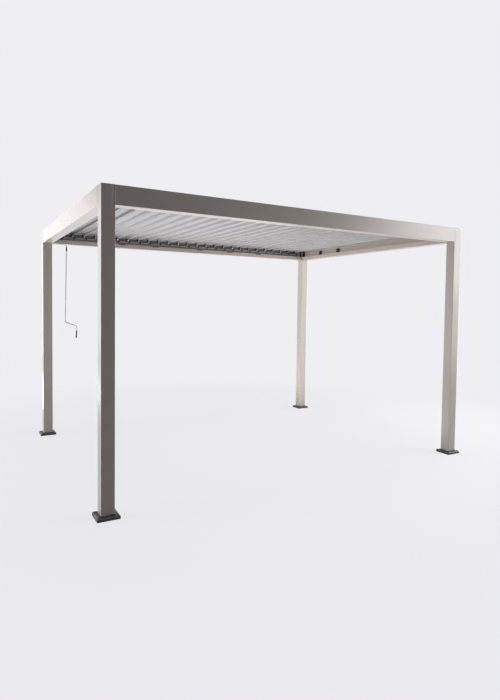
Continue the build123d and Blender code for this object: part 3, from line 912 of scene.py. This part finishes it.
class PERGOLA_OT_crank(bpy.types.Operator):
    """Hang the crank: a dark coupling, a pale upper tube, a collar, the bent rod and its grip"""

    bl_idname = "pergola.crank"
    bl_label = "Crank"

    def execute(self, context):
        s = context.scene.pergola_crank
        finishes = context.scene.pergola_finishes
        materials = bpy.data.materials
        joint = next(joint for joint in frame["joints"] if joint["child"] == "crank")
        origin, axis = np.array(joint["pos_m"]), np.array(joint["axis"])
        back = np.array([0, 1, 0])
        side = np.cross(back, axis)

        def hung(grid):
            """Points about the crank's own axis, moved to where the crank hangs."""
            return origin + grid[..., :1] * side + grid[..., 1:2] * back + grid[..., 2:] * axis

        radius = s.rod_radius
        tube = [(0, -s.tube_start), (radius, -s.tube_start), (radius, -s.split), (0, -s.split)]
        upper = Piece("crank_upper_tube")
        upper.add(hung(turned(tube, TUBE_SIDES)))
        pale = powder_coat(
            "crank_pale",
            finishes.crank_pale_colour,
            finishes.crank_pale_metallic,
            finishes.small_roughness,
        )
        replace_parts(upper.make(pale, "crank", "crank_paint"), "crank_rod")

        line = crank_line(s)
        along = np.gradient(line, axis=0)
        along /= np.linalg.norm(along, axis=1, keepdims=True)
        bent = Piece("crank_bent_rod")
        section = circle(s.bent_radius, TUBE_SIDES)
        bent.add(hung(carried(section, line, back, np.cross(back, along))))
        bent.make(materials["crank_paint"], "crank", "crank_paint")

        collar = Piece("crank_collar")
        band = banded(s.split, s.collar_length, s.collar_radius, s.collar_rim)
        collar.add(hung(turned(band, COLLAR_SIDES)))
        collar.make(materials["socket_metal"], "crank", "socket_metal")

        coupling = Piece("crank_coupling")
        band = banded(s.coupling_drop, s.coupling_length, s.coupling_radius, s.coupling_rim)
        coupling.add(hung(turned(band, COLLAR_SIDES)))
        ends = [(0, -s.pin_reach, -s.coupling_drop), (0, s.pin_reach, -s.coupling_drop)]
        section = circle(s.pin_radius, CROSS_PIN_SIDES)
        coupling.add(hung(carried(section, ends, (1, 0, 0), (0, 0, 1))))
        coupling.make(materials["dark_steel"], "crank", "socket_metal")

        grip = Piece("crank_ribbed_grip")
        grip.add(hung(leant(turned(ribbed(s), GRIP_SIDES), s.tail_lean) + line[-1]))
        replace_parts(grip.make(materials["grip_plastic"], "crank", "grip_plastic"), "crank_grip")
        return {"FINISHED"}


class PERGOLA_OT_stage(bpy.types.Operator):
    """Lay the floor, light the pergola and place the camera"""

    bl_idname = "pergola.stage"
    bl_label = "Stage"

    def execute(self, context):
        s = context.scene.pergola_stage
        self.floor(s)
        self.world(context, s)
        self.softboxes(s)
        self.camera(context, s)
        context.scene.view_settings.view_transform = "Standard"
        return {"FINISHED"}

    def floor(self, s):
        """A plain pale floor that keeps the pergola's soft shadow and fades into the backdrop."""
        half, ground = s.floor_half, -s.floor_drop
        corners = [(-half, -half), (half, -half), (half, half), (-half, half)]
        mesh = bpy.data.meshes.new("floor")
        mesh.from_pydata([(x, y, ground) for x, y in corners], [], [(0, 1, 2, 3)])
        shader = Shader("floor")
        backdrop = (*s.background, 1)
        diffuse, emission = "ShaderNodeBsdfDiffuse", "ShaderNodeEmission"
        bounce = shader.add(diffuse, {"Color": (*s.floor_bounce, 1)}).outputs[0]
        lit = shader.add(diffuse, {"Color": (*s.floor_lit, 1)}).outputs[0]
        glow = shader.add(emission, {"Color": backdrop, "Strength": s.floor_glow}).outputs[0]
        near = shader.add("ShaderNodeAddShader", {0: lit, 1: glow}).outputs[0]
        far = shader.add(emission, {"Color": backdrop, "Strength": 1.0}).outputs[0]
        from_middle = shader.add("ShaderNodeVectorMath", {0: shader.place}, operation="LENGTH")
        reach = from_middle.outputs["Value"]
        fade = shader.ramp(reach, (s.fade_start, s.fade_end), (0.0, 1.0), smooth=True)
        seen = shader.add("ShaderNodeMixShader", {0: fade, 1: near, 2: far}).outputs[0]
        inputs = {0: mirror_rays(shader), 1: bounce, 2: seen}
        mix = shader.add("ShaderNodeMixShader", inputs).outputs[0]
        shader.tree.links.new(mix, shader.tree.nodes["Material Output"].inputs["Surface"])
        shader.tree.nodes.remove(shader.surface)
        mesh.materials.append(shader.material)
        floor = bpy.data.objects.new("floor", mesh)
        bpy.context.scene.collection.objects.link(floor)

    def world(self, context, s):
        """The pale backdrop for camera, mirror and glass rays, and a dim soft room for others."""
        world = bpy.data.worlds.new("studio")
        world.use_nodes = True
        context.scene.world = world
        room = Shader.over(world)
        background = "ShaderNodeBackground"
        dim = {"Color": (*s.room_colour, 1), "Strength": s.room_level}
        pale = {"Color": (*s.background, 1), "Strength": 1.0}
        light, seen = (room.add(background, inputs).outputs[0] for inputs in (dim, pale))
        inputs = {0: mirror_rays(room), 1: light, 2: seen}
        mix = room.add("ShaderNodeMixShader", inputs).outputs[0]
        room.tree.links.new(mix, room.add("ShaderNodeOutputWorld").inputs["Surface"])

    def softboxes(self, s):
        """Large soft lights that no camera ray sees, each one facing its own point."""
        for name, (place, aim, width, height, spread, power) in SOFTBOXES.items():
            light = bpy.data.lights.new(f"softbox_{name}", "AREA")
            light.shape = "RECTANGLE"
            light.size = width
            light.size_y = height
            light.spread = radians(spread)
            light.energy = power * s.light_level
            lamp = bpy.data.objects.new(f"softbox_{name}", light)
            lamp.location = place
            facing = Vector(aim) - Vector(place)
            lamp.rotation_euler = facing.to_track_quat("-Z", "Y").to_euler()
            lamp.visible_camera = False
            lamp.visible_glossy = name not in DIFFUSE_ONLY
            bpy.context.scene.collection.objects.link(lamp)

    def camera(self, context, s):
        """The camera: forwards by yaw and pitch, rolled about its line of sight."""
        yaw, pitch, roll = s.camera_yaw, s.camera_pitch, s.camera_roll
        forward = Vector((sin(yaw) * cos(pitch), cos(yaw) * cos(pitch), sin(pitch)))
        level = forward.cross(Vector((0, 0, 1))).normalized()
        upright = level.cross(forward)
        right = level * cos(roll) + upright * sin(roll)
        up = upright * cos(roll) - level * sin(roll)
        data = bpy.data.cameras.new("camera")
        data.lens = s.camera_lens
        data.sensor_width = SENSOR_WIDTH
        data.shift_y = s.camera_rise
        data.clip_end = VIEW_END
        camera = bpy.data.objects.new("camera", data)
        turn = Matrix((right, up, -forward)).transposed().to_4x4()
        camera.matrix_world = Matrix.Translation(s.camera_place) @ turn
        bpy.context.scene.collection.objects.link(camera)
        context.scene.camera = camera


class PERGOLA_PT_panel(bpy.types.Panel):
    """The pergola's pieces, sizes and colours"""

    bl_idname = "PERGOLA_PT_panel"
    bl_label = "Pergola"
    bl_space_type = "VIEW_3D"
    bl_region_type = "UI"
    bl_category = "Pergola"

    def draw(self, context):
        for group in SETTINGS:
            settings = getattr(context.scene, group)
            for name in settings.__annotations__:
                self.layout.prop(settings, name)
        for operator in OPERATORS:
            self.layout.operator(operator.bl_idname)


SETTINGS = {
    "pergola_finishes": PergolaFinishes,
    "pergola_fittings": PergolaFittings,
    "pergola_crank": PergolaCrank,
    "pergola_stage": PergolaStage,
}
OPERATORS = (
    PERGOLA_OT_paint,
    PERGOLA_OT_anchor_bolts,
    PERGOLA_OT_pin_heads,
    PERGOLA_OT_joint_seams,
    PERGOLA_OT_lip_clips,
    PERGOLA_OT_screws,
    PERGOLA_OT_crank,
    PERGOLA_OT_stage,
)
CLASSES = (*SETTINGS.values(), *OPERATORS, PERGOLA_PT_panel)


def register():
    for cls in CLASSES:
        bpy.utils.register_class(cls)
    for name, group in SETTINGS.items():
        setattr(bpy.types.Scene, name, bpy.props.PointerProperty(type=group))


def unregister():
    for name in reversed(SETTINGS):
        delattr(bpy.types.Scene, name)
    for cls in reversed(CLASSES):
        bpy.utils.unregister_class(cls)


def main():
    register()
    for operator in OPERATORS:
        module, name = operator.bl_idname.split(".")
        getattr(getattr(bpy.ops, module), name)()


if __name__ == "__main__":
    main()
